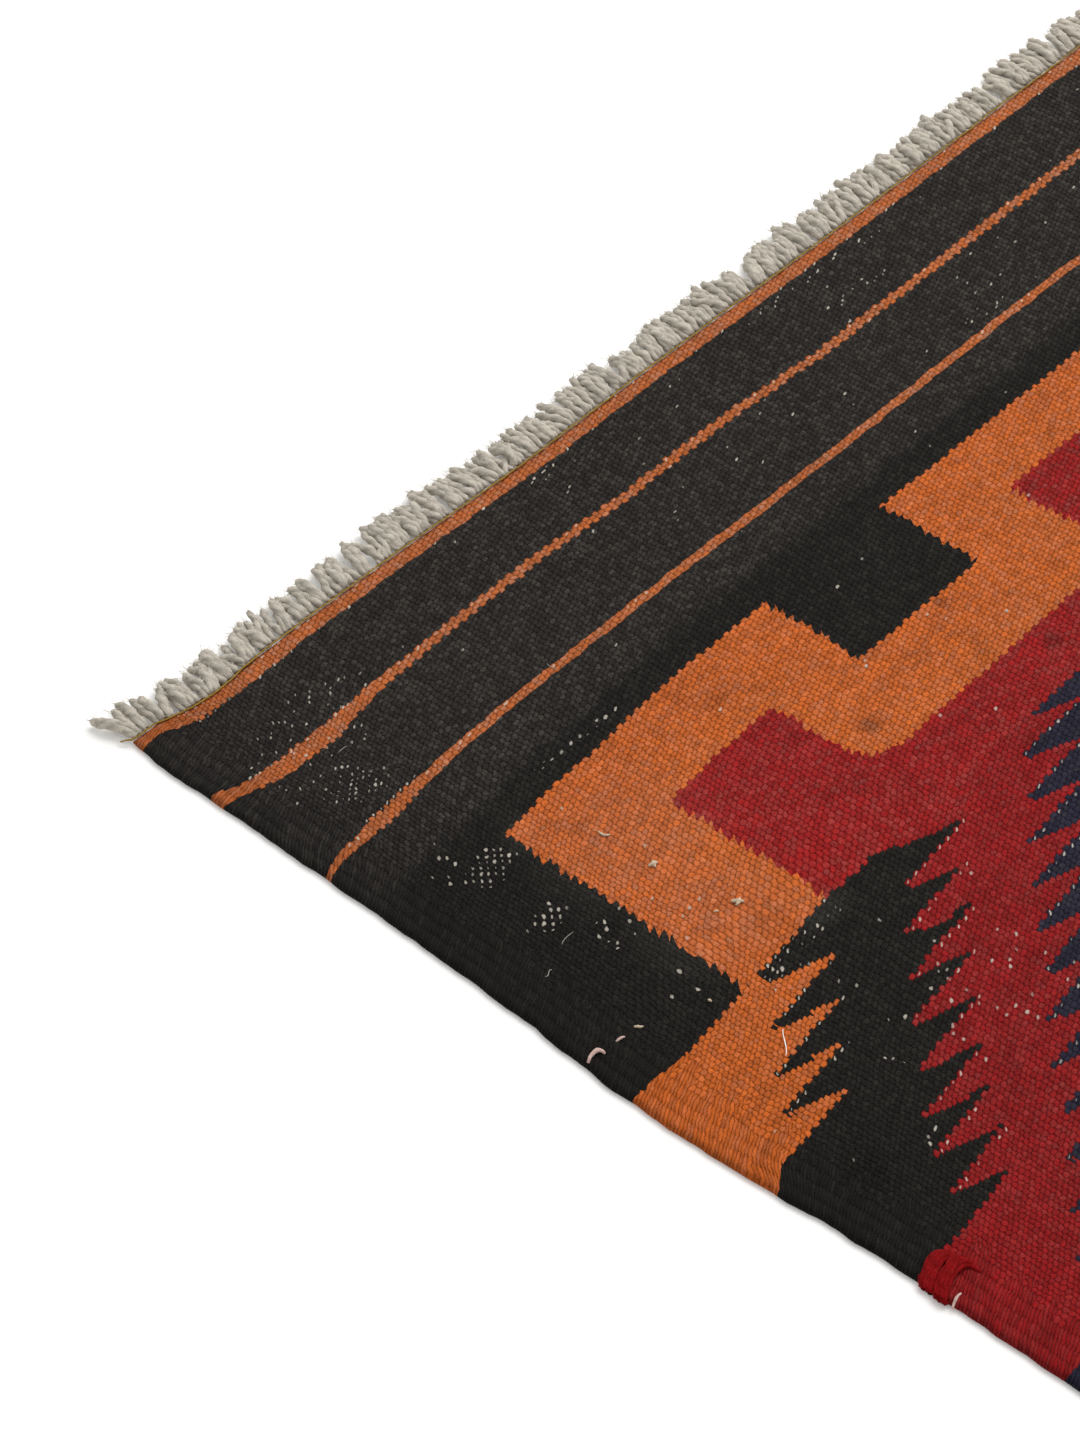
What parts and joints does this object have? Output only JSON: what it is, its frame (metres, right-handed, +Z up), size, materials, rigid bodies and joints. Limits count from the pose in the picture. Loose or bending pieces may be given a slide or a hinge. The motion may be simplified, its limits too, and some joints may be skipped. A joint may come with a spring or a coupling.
{
  "type": "kilim rug",
  "caption": "Flat-woven wool kilim rug with striped dark ends, a stepped border, serrated lozenges and a short warp fringe at both ends, lying flat.",
  "frame": {"origin": "middle of the underside, on the surface that the rug lies on", "axes": "+X along the weft, across the rug; +Y along the warp, towards the end that the picture shows; +Z up out of the upper face"},
  "size_m": [1.256, 1.9396, 0.0026],
  "materials": {
    "woven_wool": "matte weft-faced weave in brown-black, orange, red and navy wool",
    "fringe_wool": "matte plied undyed yarn ends"
  },
  "bodies": {
    "root": {"rug_cloth": "woven_wool", "fringe_back": "fringe_wool", "fringe_front": "fringe_wool"}
  },
  "joints": []
}
